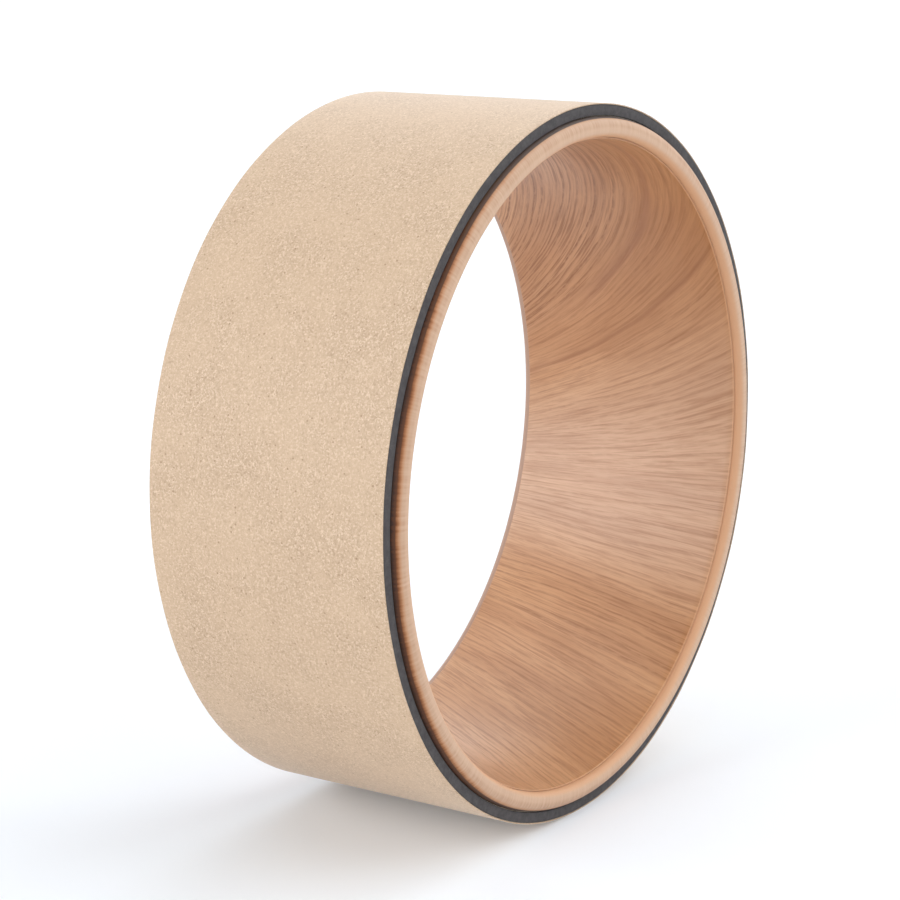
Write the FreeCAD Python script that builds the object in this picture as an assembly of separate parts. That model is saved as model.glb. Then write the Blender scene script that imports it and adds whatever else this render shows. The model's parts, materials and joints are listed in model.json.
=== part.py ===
import FreeCAD
import Part
import math
import os

# Yoga wheel: a rigid ring lined with wood grain, with a foam and cork tread wrapped round it.
# Millimetres. The wheel's axis lies along Y, +Z is up and the origin is the wheel's centre,
# so the wheel stands on its tread, half a tread diameter below the origin.

# Overall sizes
tread_diameter = 330.0
core_width = 129.0
tread_width = 121.3

# The tread, from the outside in
cork_thickness = 0.5
cork_bond_thickness = 0.2
foam_thickness = 4.8
foam_bond_thickness = 0.2

# The ring, and the rims that are rounded over at both of its ends
core_wall = 9.3
rim_inner_round = 3.0
rim_crest_land = 1.1

# The lining inside the ring
liner_bond_thickness = 0.2
liner_thickness = 0.5
liner_edge_margin = 1.2

# Each film of adhesive stops short of the edges of the strip that it holds
bond_setback = 1.0

# Each strip is cut to length, and its two ends meet in a seam across the wheel.
# Seam angles are degrees from +X towards +Z, staggered so that no two seams lie over each other.
seam_gap = 0.3
cork_seam_angle = 82.5
foam_seam_angle = 25.0
liner_seam_angle = 180.0

# Radii and widths that follow from the sizes above
cork_outer_radius = tread_diameter / 2
cork_inner_radius = cork_outer_radius - cork_thickness
foam_outer_radius = cork_inner_radius - cork_bond_thickness
foam_inner_radius = foam_outer_radius - foam_thickness
core_outer_radius = foam_inner_radius - foam_bond_thickness
core_inner_radius = core_outer_radius - core_wall
liner_outer_radius = core_inner_radius - liner_bond_thickness
liner_inner_radius = liner_outer_radius - liner_thickness
rim_outer_round = core_wall - rim_crest_land - rim_inner_round
liner_width = core_width - 2 * (rim_inner_round + liner_edge_margin)

full_turn = 360.0
quarter_turn = math.pi / 2
wheel_centre = FreeCAD.Vector(0, 0, 0)
# Turning about -Y carries +X towards +Z
turning_axis = FreeCAD.Vector(0, -1, 0)


def section_point(radius, axial):
    """A point of a ring's section, which lies in the XY plane."""
    return FreeCAD.Vector(radius, axial, 0)


def section_line(start, end):
    """A straight edge of the section between two (radius, axial) points."""
    return Part.LineSegment(section_point(*start), section_point(*end)).toShape()


def section_round(centre, radius, quarters_before):
    """A quarter circle of the section, starting that many quarter turns past +X."""
    circle = Part.Circle(section_point(*centre), FreeCAD.Vector(0, 0, 1), radius)
    start = quarters_before * quarter_turn
    return Part.ArcOfCircle(circle, start, start + quarter_turn).toShape()


def core_ring():
    """The rigid ring, whose rims are rounded over on both sides of a narrow flat crest."""
    crest = core_width / 2
    outer_start = crest - rim_outer_round
    inner_start = crest - rim_inner_round
    outer_centre = core_outer_radius - rim_outer_round
    inner_centre = core_inner_radius + rim_inner_round
    outline = [
        section_line((core_outer_radius, -outer_start), (core_outer_radius, outer_start)),
        section_round((outer_centre, outer_start), rim_outer_round, 0),
        section_line((outer_centre, crest), (inner_centre, crest)),
        section_round((inner_centre, inner_start), rim_inner_round, 1),
        section_line((core_inner_radius, inner_start), (core_inner_radius, -inner_start)),
        section_round((inner_centre, -inner_start), rim_inner_round, 2),
        section_line((inner_centre, -crest), (outer_centre, -crest)),
        section_round((outer_centre, -outer_start), rim_outer_round, 3),
    ]
    section = Part.Face(Part.Wire(outline))
    return section.revolve(wheel_centre, turning_axis, full_turn)


def wrapped_strip(inner_radius, thickness, width, seam_angle):
    """A flat strip bent round the axis until its two ends are the seam gap apart."""
    outer_radius = inner_radius + thickness
    edge = width / 2
    corners = [
        section_point(inner_radius, -edge),
        section_point(outer_radius, -edge),
        section_point(outer_radius, edge),
        section_point(inner_radius, edge),
    ]
    section = Part.Face(Part.makePolygon(corners + corners[:1]))
    gap_angle = math.degrees(seam_gap / outer_radius)
    section.rotate(wheel_centre, turning_axis, seam_angle + gap_angle / 2)
    return section.revolve(wheel_centre, turning_axis, full_turn - gap_angle)


def bond_film(inner_radius, thickness, strip_width, seam_angle):
    """The adhesive under one strip, set back from the strip's edges."""
    return wrapped_strip(inner_radius, thickness, strip_width - 2 * bond_setback, seam_angle)


def tread_pieces():
    """The foam and cork strips round the ring, each on its own film of adhesive."""
    return {
        "cork_facing": wrapped_strip(
            cork_inner_radius, cork_thickness, tread_width, cork_seam_angle),
        "cork_bond_film": bond_film(
            foam_outer_radius, cork_bond_thickness, tread_width, cork_seam_angle),
        "foam_layer": wrapped_strip(
            foam_inner_radius, foam_thickness, tread_width, foam_seam_angle),
        "foam_bond_film": bond_film(
            core_outer_radius, foam_bond_thickness, tread_width, foam_seam_angle),
    }


def lining_pieces():
    """The wood-grain sheet inside the ring and the film of adhesive behind it."""
    return {
        "liner_bond_film": bond_film(
            liner_outer_radius, liner_bond_thickness, liner_width, liner_seam_angle),
        "wood_grain_liner": wrapped_strip(
            liner_inner_radius, liner_thickness, liner_width, liner_seam_angle),
    }


pieces = {**tread_pieces(), "core_ring": core_ring(), **lining_pieces()}
os.makedirs("parts", exist_ok=True)
for name, shape in pieces.items():
    shape.exportStep(f"parts/{name}.step")
    print(f"{name}: valid {shape.isValid()}, volume {shape.Volume:.0f} mm3")
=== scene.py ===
import json
import math

import bpy
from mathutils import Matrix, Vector


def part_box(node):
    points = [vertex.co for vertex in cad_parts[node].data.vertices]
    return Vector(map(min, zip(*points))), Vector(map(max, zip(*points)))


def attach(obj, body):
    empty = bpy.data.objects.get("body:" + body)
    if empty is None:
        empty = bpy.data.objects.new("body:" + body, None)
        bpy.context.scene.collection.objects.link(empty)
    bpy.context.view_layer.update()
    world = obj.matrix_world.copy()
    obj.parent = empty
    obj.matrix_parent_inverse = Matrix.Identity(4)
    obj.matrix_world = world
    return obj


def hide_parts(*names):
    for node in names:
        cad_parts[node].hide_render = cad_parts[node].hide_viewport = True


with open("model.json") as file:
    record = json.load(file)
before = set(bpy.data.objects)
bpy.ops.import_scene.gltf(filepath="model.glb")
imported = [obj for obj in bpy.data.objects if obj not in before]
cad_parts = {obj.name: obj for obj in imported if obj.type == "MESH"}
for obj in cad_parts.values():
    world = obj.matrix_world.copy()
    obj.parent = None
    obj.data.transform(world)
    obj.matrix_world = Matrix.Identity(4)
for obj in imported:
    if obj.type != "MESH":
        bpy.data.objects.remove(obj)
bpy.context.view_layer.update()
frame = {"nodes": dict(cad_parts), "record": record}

# Looks of the yoga wheel: its axis lies along Y, its centre is the origin, and it stands on its tread.
# Lengths are metres, angles in named values are degrees, and texture scales are counts per metre.

# Sizes read from the frame
mounts = {mount["name"]: mount for mount in frame["record"]["mounts"]}
MM = 0.001


def outer_radius(node):
    """The radius of a ring-shaped node, from its box."""
    low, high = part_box(node)
    return max(high.x, -low.x, high.z, -low.z)


def half_width(node):
    """Half of a ring-shaped node's width along the wheel's axis."""
    low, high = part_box(node)
    return (high.y - low.y) / 2


cork_outer = outer_radius("cork_facing")
cork_inner = outer_radius("cork_bond_film")
foam_outer = outer_radius("foam_layer")
foam_inner = outer_radius("foam_bond_film")
core_outer = outer_radius("core_ring")
core_inner = outer_radius("liner_bond_film")
liner_outer = outer_radius("wood_grain_liner")
liner_inner = mounts["centre_bore"]["dims"]["r_mm"] * MM
tread_edge = half_width("cork_facing")
rim_crest = half_width("core_ring")
liner_edge = half_width("wood_grain_liner")
floor_height = -cork_outer

# Rim rounds and the small rounds of cut edges
RIM_OUTER_ROUND = 5.2 * MM
RIM_INNER_ROUND = 3.0 * MM
FOAM_EDGE_ROUND = 0.35 * MM
CORK_EDGE_ROUND = 0.15 * MM
LINER_EDGE_ROUND = 0.15 * MM

# Seams of the strips, in degrees from +X towards +Z
SEAM_GAP = 0.3 * MM
CORK_SEAM = 82.5
FOAM_SEAM = 25.0
LINER_SEAM = 180.0

# How far hand-cut edges wander, and where their waves start; waves are counts per turn and heights
CORK_WANDER, CORK_PHASE = 0.12 * MM, 0.6
FOAM_WANDER, FOAM_PHASE = 0.1 * MM, 1.9
CUT_WAVES = ((3, 1.0), (8, 0.7), (23, 0.4))

# Steps of the meshes: round the wheel, along the rounds and across the widths
RING_STEPS = 720
RIM_OUTER_STEPS = 14
RIM_INNER_STEPS = 10
CUT_EDGE_STEPS = 3
WALL_STEPS = 12
TREAD_STEPS = 24
LINER_STEPS = 32
SHARP_ANGLE = 50

# The photograph's camera
CAMERA_AZIMUTH = -57.0225
CAMERA_ELEVATION = 12.5535
CAMERA_DISTANCE = 1.18547
CAMERA_ASIDE = -0.01167
CAMERA_RAISED = 0.00049
FOCAL_PIXELS = 2522.1
IMAGE_PIXELS = 900
SENSOR_WIDTH = 36.0

# The white floor: its colour as seen, the grey that lights the wheel from below, and a small lift
FLOOR_SEEN = (0.87, 0.92, 0.98, 1.0)
FLOOR_BOUNCE = (0.92, 0.92, 0.92, 1.0)
FLOOR_LIFT = 0.1
FLOOR_REACH = 30.0
WHITE = (1.0, 1.0, 1.0, 1.0)
SEEN_RAYS = ("Is Camera Ray", "Is Glossy Ray", "Is Transmission Ray")

# Soft lamps: name, azimuth from +X towards +Y, elevation and strength
LAMP_SOFTNESS = 60
LAMPS = [
    ("right_back", 0, 40, 1.07),
    ("right", 308, 40, 0.97),
    ("back", 65, 12, 0.82),
    ("left_back", 142, 13, 1.95),
    ("left", 192, 14, 1.0),
    ("front", 262, 34, 0.97),
    ("top", 90, 80, 0.78),
]


def srgb(red, green, blue):
    """A colour given in 0 to 255 display values, as linear values with alpha."""
    def linear(value):
        share = value / 255
        return share / 12.92 if share <= 0.04045 else ((share + 0.055) / 1.055) ** 2.4
    return (linear(red), linear(green), linear(blue), 1.0)


# Meshes

def arc(centre, radius, start, end, steps):
    """Points of a round in a section, as (radius, axial) pairs; angles from the radial direction."""
    angles = [math.radians(start + (end - start) * i / steps) for i in range(steps + 1)]
    return [(centre[0] + radius * math.cos(a), centre[1] + radius * math.sin(a)) for a in angles]


def span(start, end, steps):
    """Points along a straight stretch of a section, both ends left out."""
    return [tuple(s + (e - s) * i / steps for s, e in zip(start, end)) for i in range(1, steps)]


def sheet_section(inner, outer, edge, edge_round, across):
    """The section of a strip: a flat rectangle with slightly rounded cut edges."""
    low, high = -edge + edge_round, edge - edge_round
    inner_middle, outer_middle = inner + edge_round, outer - edge_round
    points = arc((outer_middle, high), edge_round, 0, 90, CUT_EDGE_STEPS)
    points += arc((inner_middle, high), edge_round, 90, 180, CUT_EDGE_STEPS)
    points += span((inner, high), (inner, low), across)
    points += arc((inner_middle, low), edge_round, 180, 270, CUT_EDGE_STEPS)
    points += arc((outer_middle, low), edge_round, 270, 360, CUT_EDGE_STEPS)
    points += span((outer, low), (outer, high), across)
    return points


def core_section():
    """The ring's section: two walls and two rims that are rounded over on both sides of a crest."""
    outer_middle = core_outer - RIM_OUTER_ROUND
    inner_middle = core_inner + RIM_INNER_ROUND
    outer_start = rim_crest - RIM_OUTER_ROUND
    inner_start = rim_crest - RIM_INNER_ROUND
    points = arc((outer_middle, outer_start), RIM_OUTER_ROUND, 0, 90, RIM_OUTER_STEPS)
    points += arc((inner_middle, inner_start), RIM_INNER_ROUND, 90, 180, RIM_INNER_STEPS)
    points += span((core_inner, inner_start), (core_inner, -inner_start), WALL_STEPS)
    points += arc((inner_middle, -inner_start), RIM_INNER_ROUND, 180, 270, RIM_INNER_STEPS)
    points += arc((outer_middle, -outer_start), RIM_OUTER_ROUND, 270, 360, RIM_OUTER_STEPS)
    points += span((core_outer, -outer_start), (core_outer, outer_start), WALL_STEPS)
    return points


def turned_mesh(name, section, seam=None, wander=None):
    """A ring turned from a closed section, whole or with a seam gap at the seam angle.

    wander(angle, axial) gives a small axial shift, for cut edges that aren't quite straight.
    """
    if seam is None:
        start, sweep, rows = 0.0, math.tau, RING_STEPS
    else:
        gap = SEAM_GAP / cork_outer
        start, sweep, rows = math.radians(seam) + gap / 2, math.tau - gap, RING_STEPS + 1
    points = []
    for row in range(rows):
        angle = start + sweep * row / RING_STEPS
        for radius, axial in section:
            shift = wander(angle, axial) if wander else 0.0
            points.append((radius * math.cos(angle), axial + shift, radius * math.sin(angle)))
    count = len(section)
    faces = []
    for row in range(RING_STEPS):
        this, following = row * count, ((row + 1) % rows) * count
        for i in range(count):
            j = (i + 1) % count
            faces.append((this + i, following + i, following + j, this + j))
    if seam is not None:
        faces.append(tuple(range(count)))
        faces.append(tuple(reversed(range((rows - 1) * count, rows * count))))
    mesh = bpy.data.meshes.new(name)
    mesh.from_pydata(points, [], faces)
    mesh.validate()
    mesh.polygons.foreach_set("use_smooth", [True] * len(mesh.polygons))
    mesh.set_sharp_from_angle(angle=math.radians(SHARP_ANGLE))
    mesh.update()
    return mesh


def add_piece(name, mesh, node, material):
    """Puts a piece in the scene in place of its CAD node."""
    piece = bpy.data.objects.new(name, mesh)
    bpy.context.scene.collection.objects.link(piece)
    mesh.materials.append(material)
    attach(piece, "root")
    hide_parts(node)
    return piece


def cut_wander(depth, phase):
    """A hand-cut edge: a few slow waves, stronger towards the edges of the strip."""
    def wander(angle, axial):
        wave = sum(height * math.sin(count * angle + order * phase)
                   for order, (count, height) in enumerate(CUT_WAVES, 1))
        share = axial / tread_edge
        return depth * wave * share * share
    return wander


# Node helpers

def connect(tree, socket, value):
    """Links a socket to another socket, or sets it to a constant."""
    if isinstance(value, bpy.types.NodeSocket):
        tree.links.new(value, socket)
    else:
        socket.default_value = value


def maths(tree, operation, *values):
    """A Math node's result."""
    node = tree.nodes.new("ShaderNodeMath")
    node.operation = operation
    for socket, value in zip(node.inputs, values):
        connect(tree, socket, value)
    return node.outputs[0]


def product(tree, first, *others):
    """Several values multiplied."""
    for other in others:
        first = maths(tree, "MULTIPLY", first, other)
    return first


def total(tree, first, *others):
    """Several values added up."""
    for other in others:
        first = maths(tree, "ADD", first, other)
    return first


def swing(tree, value, reach):
    """A noise between 0 and 1 turned into a swing to both sides of zero."""
    return product(tree, maths(tree, "SUBTRACT", value, 0.5), reach)


def fade(tree, value, start, end):
    """0 at start, 1 at end, smooth between them."""
    node = tree.nodes.new("ShaderNodeMapRange")
    node.interpolation_type = "SMOOTHSTEP"
    connect(tree, node.inputs[0], value)
    connect(tree, node.inputs[1], start)
    connect(tree, node.inputs[2], end)
    return node.outputs[0]


def object_point(tree):
    """The surface point in the object's own frame, which is the wheel's."""
    return tree.nodes.new("ShaderNodeTexCoord").outputs["Object"]


def split(tree, vector):
    """The three parts of a vector."""
    node = tree.nodes.new("ShaderNodeSeparateXYZ")
    connect(tree, node.inputs[0], vector)
    return node.outputs


def joined(tree, x, y, z):
    """A vector made of three parts."""
    node = tree.nodes.new("ShaderNodeCombineXYZ")
    for socket, value in zip(node.inputs, (x, y, z)):
        connect(tree, socket, value)
    return node.outputs[0]


def turn_from(tree, parts, angle):
    """How far a point lies round the wheel from an angle in degrees, in radians."""
    return maths(tree, "SUBTRACT", maths(tree, "ARCTAN2", parts[2], parts[0]), math.radians(angle))


def vector_maths(tree, operation, first, second=None, scale=None):
    """A Vector Math node's vector."""
    node = tree.nodes.new("ShaderNodeVectorMath")
    node.operation = operation
    connect(tree, node.inputs[0], first)
    if second is not None:
        connect(tree, node.inputs[1], second)
    if scale is not None:
        connect(tree, node.inputs["Scale"], scale)
    return node.outputs[0]


def vector_length(tree, vector):
    """The length of a vector."""
    node = tree.nodes.new("ShaderNodeVectorMath")
    node.operation = "LENGTH"
    connect(tree, node.inputs[0], vector)
    return node.outputs["Value"]


def noise(tree, vector, scale, detail=2.0, roughness=0.5):
    """Smooth noise between about 0 and 1."""
    node = tree.nodes.new("ShaderNodeTexNoise")
    connect(tree, node.inputs["Vector"], vector)
    node.inputs["Scale"].default_value = scale
    node.inputs["Detail"].default_value = detail
    node.inputs["Roughness"].default_value = roughness
    return node.outputs[0]


def cells(tree, vector, scale):
    """Voronoi cells: the distance to their centres and a random colour for each."""
    node = tree.nodes.new("ShaderNodeTexVoronoi")
    connect(tree, node.inputs["Vector"], vector)
    node.inputs["Scale"].default_value = scale
    return node.outputs


def random_value(tree, number):
    """A random value between 0 and 1 that belongs to a number."""
    node = tree.nodes.new("ShaderNodeTexWhiteNoise")
    node.noise_dimensions = "1D"
    connect(tree, node.inputs["W"], number)
    return node.outputs["Value"]


def ramp(tree, factor, stops):
    """A colour that runs through the stops, given as (place, colour)."""
    node = tree.nodes.new("ShaderNodeValToRGB")
    connect(tree, node.inputs[0], factor)
    elements = node.color_ramp.elements
    while len(elements) < len(stops):
        elements.new(0.5)
    for element, (place, colour) in zip(elements, stops):
        element.position = place
        element.color = colour
    return node.outputs[0]


def mixed(tree, factor, first, second, blend="MIX"):
    """Two colours mixed by a factor."""
    node = tree.nodes.new("ShaderNodeMix")
    node.data_type = "RGBA"
    node.blend_type = blend
    connect(tree, node.inputs["Factor"], factor)
    connect(tree, node.inputs[6], first)
    connect(tree, node.inputs[7], second)
    return node.outputs[2]


def tinted(tree, colour, tone, mask, weight):
    """A colour drawn towards a tone where a mask is set."""
    return mixed(tree, product(tree, mask, weight), colour, tone)


def bump(tree, height, strength, distance):
    """A normal that follows a height, in metres of distance."""
    node = tree.nodes.new("ShaderNodeBump")
    node.inputs["Strength"].default_value = strength
    node.inputs["Distance"].default_value = distance
    connect(tree, node.inputs["Height"], height)
    return node.outputs[0]


def new_material(name):
    """A material with its node tree and its surface shader."""
    material = bpy.data.materials.new(name)
    material.use_nodes = True
    tree = material.node_tree
    return material, tree, tree.nodes["Principled BSDF"]


def dress(tree, shader, linked, constants):
    """Links what varies over the surface to the shader, and sets what is the same all over it."""
    for name, value in linked.items():
        connect(tree, shader.inputs[name], value)
    for name, value in constants.items():
        shader.inputs[name].default_value = value


# Cork: scales, where its masks fade, and tones from dark granules to pale ones
CORK_GRANULES, CORK_GRIT, CORK_FLECKS, CORK_DRIFT = 1250, 1700, 420, 38
CORK_GRIT_ROUGHNESS = 0.6
CORK_GRIT_FADE = (0.36, 0.56)
CORK_DRIFT_FADE, CORK_DRIFT_WEIGHT = (0.3, 0.7), 0.4
CORK_FLECK_SHARE, CORK_FLECK_SIZE, CORK_FLECK_WEIGHT = (0.86, 0.9), (0.24, 0.14), 0.7
CORK_TONES = [
    (0.0, srgb(172, 145, 118)),
    (0.14, srgb(193, 167, 140)),
    (0.6, srgb(203, 178, 152)),
    (1.0, srgb(221, 199, 175)),
]
CORK_GRIT_TONE = srgb(186, 160, 133)
CORK_DRIFT_TONE = srgb(209, 183, 155)
CORK_FLECK_TONE = srgb(150, 119, 88)
CORK_GRANULE_CROWN = -0.6
CORK_BUMP_STRENGTH, CORK_BUMP_DEPTH = 0.4, 0.12 * MM
CORK_FINISH = {
    "Roughness": 0.6,
    "Specular IOR Level": 0.5,
    "Sheen Weight": 0.22,
    "Sheen Roughness": 0.4,
}


def cork_material():
    """Pressed cork: fine pale granules, a few darker ones among them, and a slow drift of tone."""
    material, tree, shader = new_material("cork")
    point = object_point(tree)
    granule = cells(tree, point, CORK_GRANULES)
    grit = noise(tree, point, CORK_GRIT, roughness=CORK_GRIT_ROUGHNESS)
    drift = fade(tree, noise(tree, point, CORK_DRIFT), *CORK_DRIFT_FADE)
    colour = ramp(tree, split(tree, granule["Color"])[0], CORK_TONES)
    colour = mixed(tree, fade(tree, grit, *CORK_GRIT_FADE), CORK_GRIT_TONE, colour)
    colour = tinted(tree, colour, CORK_DRIFT_TONE, drift, CORK_DRIFT_WEIGHT)
    fleck = cells(tree, point, CORK_FLECKS)
    chosen = fade(tree, split(tree, fleck["Color"])[1], *CORK_FLECK_SHARE)
    spot = product(tree, chosen, fade(tree, fleck["Distance"], *CORK_FLECK_SIZE))
    colour = tinted(tree, colour, CORK_FLECK_TONE, spot, CORK_FLECK_WEIGHT)
    height = total(tree, product(tree, granule["Distance"], CORK_GRANULE_CROWN), grit)
    normal = bump(tree, height, CORK_BUMP_STRENGTH, CORK_BUMP_DEPTH)
    dress(tree, shader, {"Base Color": colour, "Normal": normal}, CORK_FINISH)
    return material


# Foam: scales, tones and the dark of its pores
FOAM_CELLS = 2200
FOAM_MOTTLE, FOAM_MOTTLE_DETAIL, FOAM_MOTTLE_ROUGHNESS = 420, 3.0, 0.6
FOAM_TONES = [(0.3, srgb(75, 73, 75)), (0.5, srgb(86, 84, 86)), (0.7, srgb(97, 95, 96))]
FOAM_PORE_TONE = srgb(66, 64, 66)
FOAM_PORE_FADE, FOAM_PORE_WEIGHT = (0.0, 0.5), 0.35
FOAM_BUMP_STRENGTH, FOAM_BUMP_DEPTH = 0.4, 0.1 * MM
FOAM_FINISH = {"Roughness": 0.9, "Specular IOR Level": 0.25}


def foam_material():
    """Charcoal closed-cell foam with a fine cut grain."""
    material, tree, shader = new_material("foam")
    point = object_point(tree)
    cell = cells(tree, point, FOAM_CELLS)
    mottle = noise(tree, point, FOAM_MOTTLE, FOAM_MOTTLE_DETAIL, FOAM_MOTTLE_ROUGHNESS)
    pore = fade(tree, cell["Distance"], *FOAM_PORE_FADE)
    colour = tinted(tree, ramp(tree, mottle, FOAM_TONES), FOAM_PORE_TONE, pore, FOAM_PORE_WEIGHT)
    height = maths(tree, "SUBTRACT", mottle, cell["Distance"])
    normal = bump(tree, height, FOAM_BUMP_STRENGTH, FOAM_BUMP_DEPTH)
    dress(tree, shader, {"Base Color": colour, "Normal": normal}, FOAM_FINISH)
    return material


# The plank that the lining's figure is drawn on: the angle where its lines run straight across the ring,
# where it changes to the lower part (radians from there), and how much the lines lean and bend in that part
GRAIN_TURN = -19.0
LOWER_PART = (0.35, -0.35)
LOWER_LEAN = 0.52
LOWER_BEND = 0.5


def grain_place(tree):
    """A place on the flat plank that the figure is drawn on, along its grain and across it.

    The plank is laid round the ring so that its lines run straight across the ring at one side.
    Above there they sweep into nested arches, and below there they only lean.
    """
    parts = split(tree, object_point(tree))
    turn = turn_from(tree, parts, GRAIN_TURN)
    low = fade(tree, turn, *LOWER_PART)
    lean = maths(tree, "SUBTRACT", 1.0, product(tree, low, LOWER_LEAN))
    bent = product(tree, turn, maths(tree, "SUBTRACT", 1.0, product(tree, low, LOWER_BEND)))
    share = product(tree, lean, maths(tree, "DIVIDE", parts[1], liner_inner))
    spread = product(tree, maths(tree, "EXPONENT", share), total(tree, low, 1.0))
    reach = product(tree, spread, liner_inner)
    along = product(tree, reach, maths(tree, "COSINE", bent))
    across = product(tree, reach, maths(tree, "SINE", bent))
    return along, across


# Layers of noise on the plank: scale along the grain, scale across it, and a seed
LEVEL_DRIFT, LEVEL_DRIFT_REACH = (7, 20, 21.0), 16 * MM
LEVEL_RIPPLE, LEVEL_RIPPLE_REACH = (60, 40, 22.0), 1.4 * MM
BAND_LAYER = (9, 48, 7.3)
BROAD_LAYER, BROAD_FADE = (12, 150, 3.4), (0.48, 0.68)
STREAK_LAYER, STREAK_FADE = (26, 760, 5.9), (0.5, 0.66)
HAIR_LAYER, HAIR_FADE = (80, 1800, 9.2), (0.45, 0.65)
WEAR_SCALES, WEAR_BLUR = (20, 120), 0.12
DASH_SCALES, DASH_FADE = (170, 420), (0.36, 0.58)

# Growth lines: spacing, how far they are worn away, and a seed
WIDE_LINES = (4.4 * MM, 0.36, 21.0)
FINE_LINES = (2.3 * MM, 0.47, 43.0)
LINE_RISE, LINE_FALL = (0.56, 0.88), (1.0, 0.92)
LINE_LEAST, LINE_VARIES = 0.35, 0.65
DASH_LEAST, DASH_VARIES = 0.4, 0.6

# Darker arches: level, reach above and reach below; the short one narrows to a tongue
LONG_ARCH = (82 * MM, 5 * MM, 1.5 * MM)
SHORT_ARCH_LEVEL, SHORT_ARCH_BELOW = 108 * MM, 2 * MM
SHORT_ARCH_END = (150 * MM, 110 * MM)
TONGUE_SLOPE, TONGUE_BASE, TONGUE_LEAST = 0.06, 1 * MM, 1.5 * MM

# Levels where the colour changes: a redder, darker top that is painted shade, a pale straight part that is
# painted sheen, the wood's dense arches, its lower part
TOP_SHADE_FADE, TOP_SHADE_WEIGHT = (50 * MM, 110 * MM), 0.3
PAINTED_SHEEN_LEVEL, PAINTED_SHEEN_FADE, PAINTED_SHEEN_WEIGHT = 10 * MM, (75 * MM, 20 * MM), 0.5
DENSE_FADE, DENSE_WEIGHT = (110 * MM, 124 * MM), 0.7
LOWER_FADE, LOWER_WEIGHT = (-20 * MM, -60 * MM), 0.2
BOLD_LEAST = 0.4
FINE_LEAST, FINE_VARIES = 0.38, 0.5
LONG_ARCH_WEIGHT, SHORT_ARCH_WEIGHT, BROAD_WEIGHT, HAIR_WEIGHT = 0.5, 0.55, 0.22, 0.22

WOOD_TONES = [(0.3, srgb(184, 133, 90)), (0.5, srgb(195, 145, 102)), (0.7, srgb(205, 157, 115))]
TOP_SHADE_TONE = srgb(176, 118, 72)
PAINTED_SHEEN_TONE = srgb(212, 180, 156)
LONG_ARCH_TONE = srgb(150, 96, 58)
SHORT_ARCH_TONE = srgb(150, 96, 62)
BROAD_TONE = srgb(156, 104, 62)
WIDE_LINE_TONE = srgb(134, 83, 42)
FINE_LINE_TONE = srgb(140, 88, 46)
STREAK_TONE = srgb(144, 92, 50)
HAIR_TONE = srgb(150, 98, 58)


def plank_noise(tree, plank, along_scale, across_scale, seed):
    """Noise stretched along the grain of the plank; the seed sets one layer apart from another."""
    along, across = plank
    stretched = joined(tree, product(tree, along, along_scale), seed, product(tree, across, across_scale))
    return noise(tree, stretched, 1.0)


def growth_level(tree, plank):
    """The distance across the grain, wandering as growth does, so that lines of one level wave."""
    drift = swing(tree, plank_noise(tree, plank, *LEVEL_DRIFT), LEVEL_DRIFT_REACH)
    ripple = swing(tree, plank_noise(tree, plank, *LEVEL_RIPPLE), LEVEL_RIPPLE_REACH)
    return total(tree, plank[1], total(tree, drift, ripple))


def growth_lines(tree, plank, level, spacing, wear, seed):
    """Thin dark lines of late wood a spacing apart, broken into dashes and worn away in places."""
    count = maths(tree, "DIVIDE", level, spacing)
    step = maths(tree, "FRACT", count)
    line = product(tree, fade(tree, step, *LINE_RISE), fade(tree, step, *LINE_FALL))
    own = random_value(tree, total(tree, maths(tree, "FLOOR", count), seed))
    strength = total(tree, LINE_LEAST, product(tree, own, LINE_VARIES))
    worn = fade(tree, plank_noise(tree, plank, *WEAR_SCALES, seed + 2), wear - WEAR_BLUR, wear + WEAR_BLUR)
    broken = fade(tree, plank_noise(tree, plank, *DASH_SCALES, seed + 4), *DASH_FADE)
    dashes = total(tree, DASH_LEAST, product(tree, broken, DASH_VARIES))
    return product(tree, line, strength, product(tree, worn, dashes))


def dark_arch(tree, level, middle, above, below):
    """One darker band of growth, at a level of its own, with a reach to each side of it."""
    offset = maths(tree, "SUBTRACT", level, middle)
    return product(tree, fade(tree, offset, -below, 0.0), fade(tree, offset, above, 0.0))


def short_dark_arch(tree, along, level):
    """The darker band that ends part of the way along the plank, in a tongue."""
    tongue = total(tree, product(tree, along, TONGUE_SLOPE), TONGUE_BASE)
    tongue = maths(tree, "MAXIMUM", tongue, TONGUE_LEAST)
    arch = dark_arch(tree, level, SHORT_ARCH_LEVEL, tongue, SHORT_ARCH_BELOW)
    return product(tree, fade(tree, along, *SHORT_ARCH_END), arch)


def wood_ground(tree, plank, level):
    """The warm ground of the wood, without its lines, with painted shade towards the top and a painted
    sheen across its straight part.
    """
    colour = ramp(tree, plank_noise(tree, plank, *BAND_LAYER), WOOD_TONES)
    # Painted shade: darker and redder towards the top of the ring, where the wall faces down.
    colour = tinted(tree, colour, TOP_SHADE_TONE, fade(tree, level, *TOP_SHADE_FADE), TOP_SHADE_WEIGHT)
    # Painted sheen: a paler, less saturated tone across the straight part of the figure.
    off_straight = maths(tree, "ABSOLUTE", maths(tree, "SUBTRACT", level, PAINTED_SHEEN_LEVEL))
    return tinted(tree, colour, PAINTED_SHEEN_TONE, fade(tree, off_straight, *PAINTED_SHEEN_FADE), PAINTED_SHEEN_WEIGHT)


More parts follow.
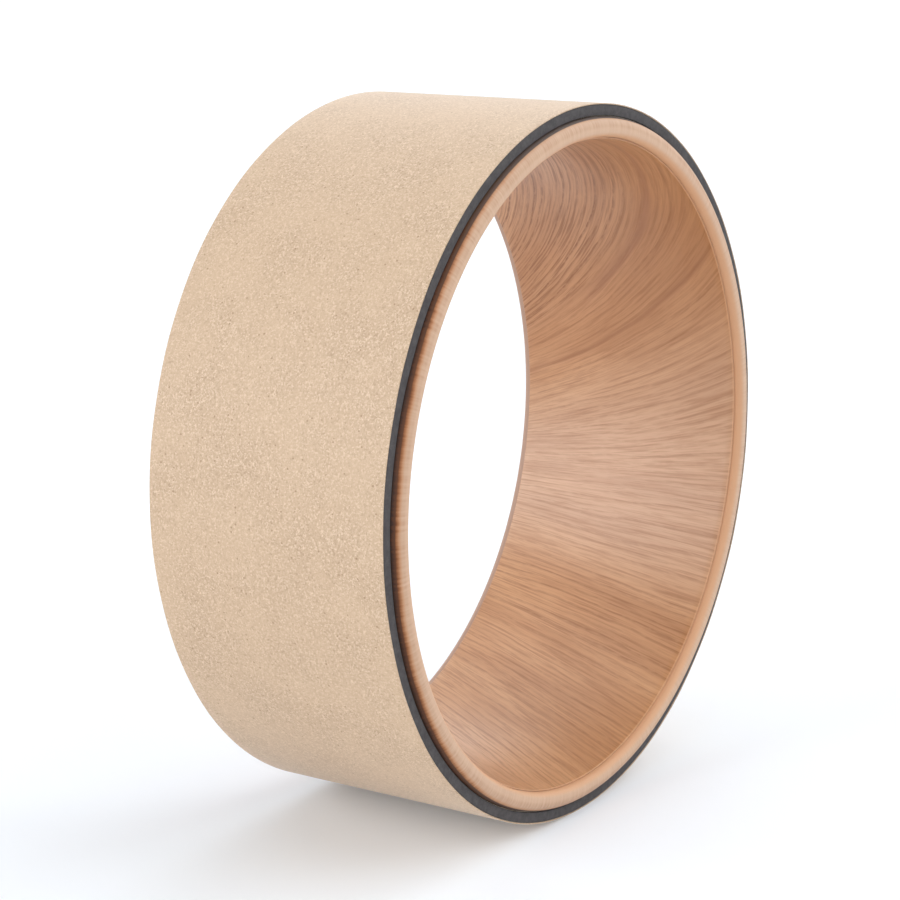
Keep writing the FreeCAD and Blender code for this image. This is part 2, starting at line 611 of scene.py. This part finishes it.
def wood_figure(tree):
    """The figure of the wood: its colour, and how deep its lines and pores are cut."""
    plank = grain_place(tree)
    level = growth_level(tree, plank)
    colour = wood_ground(tree, plank, level)
    wide_lines = growth_lines(tree, plank, level, *WIDE_LINES)
    fine_lines = growth_lines(tree, plank, level, *FINE_LINES)
    broad = fade(tree, plank_noise(tree, plank, *BROAD_LAYER), *BROAD_FADE)
    streaks = fade(tree, plank_noise(tree, plank, *STREAK_LAYER), *STREAK_FADE)
    hairs = fade(tree, plank_noise(tree, plank, *HAIR_LAYER), *HAIR_FADE)
    dense = product(tree, fade(tree, level, *DENSE_FADE), DENSE_WEIGHT)
    busy = total(tree, dense, product(tree, fade(tree, level, *LOWER_FADE), LOWER_WEIGHT))
    bold = total(tree, busy, BOLD_LEAST)
    busy_fine = total(tree, product(tree, busy, FINE_VARIES), FINE_LEAST)
    for mask, weight, tone in (
            (dark_arch(tree, level, *LONG_ARCH), LONG_ARCH_WEIGHT, LONG_ARCH_TONE),
            (short_dark_arch(tree, plank[0], level), SHORT_ARCH_WEIGHT, SHORT_ARCH_TONE),
            (broad, BROAD_WEIGHT, BROAD_TONE),
            (wide_lines, bold, WIDE_LINE_TONE),
            (fine_lines, busy_fine, FINE_LINE_TONE),
            (streaks, busy_fine, STREAK_TONE),
            (hairs, HAIR_WEIGHT, HAIR_TONE)):
        colour = tinted(tree, colour, tone, mask, weight)
    cut = total(tree, wide_lines, total(tree, streaks, hairs))
    return colour, cut


# The lining's cut edge, partly its own pale edge and partly a painted highlight that is strongest on the
# front side, and its finish
LINER_CUT_EDGE = (liner_edge - 0.9 * MM, liner_edge - 0.5 * MM)
LINER_HIGHLIGHT_SIDE = (1.6 * liner_edge, -liner_edge)
LINER_EDGE_HIGHLIGHT_WEIGHT = 0.5
LINER_EDGE_HIGHLIGHT_TONE = srgb(220, 174, 136)
LINER_ROUGHNESS, LINER_CUT_ROUGHNESS = 0.36, 0.05
LINER_BUMP_STRENGTH, LINER_BUMP_DEPTH = 0.1, 0.05 * MM
LINER_FINISH = {"Specular IOR Level": 0.5, "Coat Weight": 0.4, "Coat Roughness": 0.34}


def wood_grain_material():
    """Wood-grain lining: growth lines and short pores, darker than their warm ground, satin."""
    material, tree, shader = new_material("wood_grain")
    colour, cut = wood_figure(tree)
    axial = split(tree, object_point(tree))[1]
    cut_edge = fade(tree, maths(tree, "ABSOLUTE", axial), *LINER_CUT_EDGE)
    # The cut edge's pale tone is partly the sheet's own edge and partly a painted highlight, strongest on
    # the front side.
    painted_highlight = product(tree, fade(tree, axial, *LINER_HIGHLIGHT_SIDE), LINER_EDGE_HIGHLIGHT_WEIGHT)
    colour = tinted(tree, colour, LINER_EDGE_HIGHLIGHT_TONE, cut_edge, painted_highlight)
    roughness = total(tree, LINER_ROUGHNESS, product(tree, cut, LINER_CUT_ROUGHNESS))
    height = maths(tree, "SUBTRACT", 1.0, cut)
    normal = bump(tree, height, LINER_BUMP_STRENGTH, LINER_BUMP_DEPTH)
    dress(tree, shader, {"Base Color": colour, "Roughness": roughness, "Normal": normal}, LINER_FINISH)
    return material


# The rim: streaks that slant a little across it, its tones, and a warmer tone towards the lining that is
# painted reflection of the lining, darker on the back rim as painted shade
RIM_SLANT = 0.1
RIM_STREAKS, RIM_STREAK_DETAIL = 820, 1.5
RIM_SLOW, RIM_SLOW_WEIGHT = 70, 0.3
RIM_CREST_FADE, RIM_CREST_WEIGHT = (core_inner + 5.4 * MM, core_inner + 3.6 * MM), 0.5
RIM_REFLECTION_FADE, RIM_REFLECTION_WEIGHT = (core_inner + 2.6 * MM, core_inner + 0.4 * MM), 0.9
RIM_TONES = [(0.3, srgb(190, 153, 127)), (0.5, srgb(198, 165, 140)), (0.7, srgb(206, 175, 150))]
RIM_SLOW_TONE = srgb(203, 164, 135)
RIM_CREST_TONE = srgb(216, 184, 158)
RIM_FRONT_REFLECTION_TONE, RIM_BACK_SHADED_REFLECTION_TONE = srgb(214, 167, 130), srgb(176, 147, 131)
RIM_ROUGHNESS, RIM_STREAK_ROUGHNESS = 0.46, 0.12
RIM_BUMP_STRENGTH, RIM_BUMP_DEPTH = 0.12, 0.05 * MM
RIM_FINISH = {"Specular IOR Level": 0.3}

# The rim's brown beside the foam, partly scorch and partly painted shade in the corner by the foam: how far
# it reaches from the foam, the side where it is darkest, how it eases away from there, and the painted
# shade line beside the foam
SCORCH_SHADE_REACH = 3.0 * MM
SCORCH_SHADE_SIDE = 182.0
SCORCH_SHADE_AWAY = (0.98, 0.1)
SCORCH_SHADE_EASE = 0.45
SCORCH_SHADE_RAGGED_FINE, SCORCH_SHADE_RAGGED_SLOW = 1.1 * MM, 0.7 * MM
SCORCH_SHADE_FADE = (1.3, 0.8)
SCORCH_SHADE_TONES = [
    (0.08, srgb(56, 33, 20)),
    (0.26, srgb(92, 50, 26)),
    (0.4, srgb(132, 80, 47)),
    (0.57, srgb(168, 115, 77)),
    (0.77, srgb(192, 147, 113)),
    (1.0, srgb(196, 160, 133)),
]
FOAM_SHADE_LINE_FADE = (core_outer - 1.15 * MM, core_outer - 0.85 * MM)
FOAM_SHADE_LINE_NEAR_TONE, FOAM_SHADE_LINE_AWAY_TONE = srgb(84, 50, 32), srgb(70, 56, 49)


def scorch_and_shade_rim(tree, colour, parts, radius, streak, slow):
    """The rim's colour with a brown beside the foam that is partly scorch and partly painted shade, and a
    painted shade line beside the foam.
    """
    # Partly scorch, partly painted shade in the corner by the foam, darkest on one side of the wheel.
    turn = turn_from(tree, parts, SCORCH_SHADE_SIDE)
    away = fade(tree, maths(tree, "COSINE", turn), *SCORCH_SHADE_AWAY)
    ragged = total(tree, swing(tree, streak, SCORCH_SHADE_RAGGED_FINE), swing(tree, slow, SCORCH_SHADE_RAGGED_SLOW))
    depth = total(tree, maths(tree, "SUBTRACT", core_outer, radius), ragged)
    share = total(tree, maths(tree, "DIVIDE", depth, SCORCH_SHADE_REACH), product(tree, away, SCORCH_SHADE_EASE))
    scorch_shade = ramp(tree, share, SCORCH_SHADE_TONES)
    colour = mixed(tree, fade(tree, share, *SCORCH_SHADE_FADE), colour, scorch_shade)
    # Painted shade: a dark line on the rim right beside the foam, brown on the darkest side and grey
    # elsewhere.
    line = mixed(tree, away, FOAM_SHADE_LINE_NEAR_TONE, FOAM_SHADE_LINE_AWAY_TONE)
    return mixed(tree, fade(tree, radius, *FOAM_SHADE_LINE_FADE), colour, line, "DARKEN")


def rim_material():
    """Wood-tone rim: pale, with painted reflection of the lining towards it, and brown beside the foam that
    is partly scorch and partly painted shade.
    """
    material, tree, shader = new_material("rim")
    parts = split(tree, object_point(tree))
    flat = joined(tree, parts[0], 0.0, parts[2])
    radius = vector_length(tree, flat)
    round_the_rim = vector_maths(tree, "SCALE", vector_maths(tree, "NORMALIZE", flat), scale=core_outer)
    slant = joined(tree, 0.0, product(tree, parts[1], RIM_SLANT), 0.0)
    slanted = vector_maths(tree, "ADD", round_the_rim, slant)
    streak = noise(tree, slanted, RIM_STREAKS, RIM_STREAK_DETAIL)
    slow = noise(tree, slanted, RIM_SLOW)
    # Painted reflection of the lining's orange on the rim's inner round, darker on the back rim as painted
    # shade.
    to_back = fade(tree, parts[1], -rim_crest, rim_crest)
    warm = mixed(tree, to_back, RIM_FRONT_REFLECTION_TONE, RIM_BACK_SHADED_REFLECTION_TONE)
    colour = tinted(tree, ramp(tree, streak, RIM_TONES), RIM_SLOW_TONE, slow, RIM_SLOW_WEIGHT)
    colour = tinted(tree, colour, RIM_CREST_TONE, fade(tree, radius, *RIM_CREST_FADE), RIM_CREST_WEIGHT)
    colour = tinted(tree, colour, warm, fade(tree, radius, *RIM_REFLECTION_FADE), RIM_REFLECTION_WEIGHT)
    colour = scorch_and_shade_rim(tree, colour, parts, radius, streak, slow)
    roughness = total(tree, RIM_ROUGHNESS, product(tree, streak, RIM_STREAK_ROUGHNESS))
    normal = bump(tree, streak, RIM_BUMP_STRENGTH, RIM_BUMP_DEPTH)
    dress(tree, shader, {"Base Color": colour, "Roughness": roughness, "Normal": normal}, RIM_FINISH)
    return material


# Adhesive: the scale of its clouds, its tones and its gloss
FILM_CLOUDS, FILM_CLOUD_DETAIL = 160, 3.0
FILM_TONES = [(0.3, srgb(214, 202, 176)), (0.7, srgb(232, 224, 204))]
FILM_ROUGHNESS, FILM_CLOUD_ROUGHNESS = 0.3, 0.3


def adhesive_material():
    """A cloudy film of set adhesive."""
    material, tree, shader = new_material("adhesive")
    cloud = noise(tree, object_point(tree), FILM_CLOUDS, FILM_CLOUD_DETAIL)
    roughness = total(tree, FILM_ROUGHNESS, product(tree, cloud, FILM_CLOUD_ROUGHNESS))
    dress(tree, shader, {"Base Color": ramp(tree, cloud, FILM_TONES), "Roughness": roughness}, {})
    return material


# Pieces

def build_wheel():
    """The wheel's pieces that show, in place of their CAD nodes, and the films left as they are."""
    cork = turned_mesh(
        "cork_facing_sheet",
        sheet_section(cork_inner, cork_outer, tread_edge, CORK_EDGE_ROUND, TREAD_STEPS),
        CORK_SEAM, cut_wander(CORK_WANDER, CORK_PHASE))
    add_piece("cork_facing_sheet", cork, "cork_facing", cork_material())
    foam = turned_mesh(
        "foam_layer_strip",
        sheet_section(foam_inner, foam_outer, tread_edge, FOAM_EDGE_ROUND, TREAD_STEPS),
        FOAM_SEAM, cut_wander(FOAM_WANDER, FOAM_PHASE))
    strip = add_piece("foam_layer_strip", foam, "foam_layer", foam_material())
    core = turned_mesh("core_ring_body", core_section())
    add_piece("core_ring_body", core, "core_ring", rim_material())
    liner = turned_mesh(
        "wood_grain_sheet",
        sheet_section(liner_inner, liner_outer, liner_edge, LINER_EDGE_ROUND, LINER_STEPS), LINER_SEAM)
    add_piece("wood_grain_sheet", liner, "wood_grain_liner", wood_grain_material())
    film = adhesive_material()
    for node in ("cork_bond_film", "foam_bond_film", "liner_bond_film"):
        materials = frame["nodes"][node].data.materials
        materials.clear()
        materials.append(film)


# Stage, light and camera

def seen_ray(tree):
    """1 for rays that show the surroundings to the camera or in a reflection, else 0."""
    path = tree.nodes.new("ShaderNodeLightPath")
    first, *others = (path.outputs[name] for name in SEEN_RAYS)
    for other in others:
        first = maths(tree, "MAXIMUM", first, other)
    return first


def floor_material():
    """A white floor that keeps the wheel's shadow: its unshaded colour is lifted to white."""
    material, tree, shader = new_material("studio_floor")
    seen = seen_ray(tree)
    colour = mixed(tree, seen, FLOOR_BOUNCE, FLOOR_SEEN)
    linked = {"Base Color": colour, "Emission Strength": product(tree, seen, FLOOR_LIFT)}
    dress(tree, shader, linked, {"Roughness": 1.0, "Specular IOR Level": 0.0, "Emission Color": WHITE})
    return material


def build_floor():
    """The floor under the wheel."""
    mesh = bpy.data.meshes.new("floor")
    corners = [(-1, -1), (1, -1), (1, 1), (-1, 1)]
    points = [(x * FLOOR_REACH, y * FLOOR_REACH, floor_height) for x, y in corners]
    mesh.from_pydata(points, [], [(0, 1, 2, 3)])
    floor = bpy.data.objects.new("floor", mesh)
    bpy.context.scene.collection.objects.link(floor)
    mesh.materials.append(floor_material())


def build_world():
    """White surroundings, which are seen and mirrored but leave the lighting to the lamps."""
    world = bpy.data.worlds.new("studio")
    bpy.context.scene.world = world
    world.use_nodes = True
    tree = world.node_tree
    background = tree.nodes["Background"]
    background.inputs["Color"].default_value = WHITE
    connect(tree, background.inputs["Strength"], seen_ray(tree))


def build_lights():
    """Soft lamps, each given by the direction that it shines from."""
    for name, azimuth, elevation, strength in LAMPS:
        turn, rise = math.radians(azimuth), math.radians(elevation)
        towards = (math.cos(turn) * math.cos(rise), math.sin(turn) * math.cos(rise), math.sin(rise))
        lamp = bpy.data.lights.new(name, "SUN")
        lamp.energy = strength
        lamp.angle = math.radians(LAMP_SOFTNESS)
        light = bpy.data.objects.new(name, lamp)
        light.rotation_mode = "QUATERNION"
        light.rotation_quaternion = Vector(towards).to_track_quat("Z", "Y")
        bpy.context.scene.collection.objects.link(light)


def build_camera():
    """The photograph's viewpoint."""
    azimuth, elevation = math.radians(CAMERA_AZIMUTH), math.radians(CAMERA_ELEVATION)
    back = Vector((math.sin(azimuth) * math.cos(elevation),
                   -math.cos(azimuth) * math.cos(elevation), math.sin(elevation)))
    right = Vector((math.cos(azimuth), math.sin(azimuth), 0))
    up = back.cross(right)
    data = bpy.data.cameras.new("camera")
    data.sensor_width = SENSOR_WIDTH
    data.lens = FOCAL_PIXELS / IMAGE_PIXELS * SENSOR_WIDTH
    camera = bpy.data.objects.new("camera", data)
    camera.location = back * CAMERA_DISTANCE + right * CAMERA_ASIDE + up * CAMERA_RAISED
    camera.rotation_mode = "QUATERNION"
    camera.rotation_quaternion = back.to_track_quat("Z", "Y")
    bpy.context.scene.collection.objects.link(camera)
    bpy.context.scene.camera = camera


build_wheel()
build_floor()
build_world()
build_lights()
build_camera()
bpy.context.scene.view_settings.view_transform = "Standard"
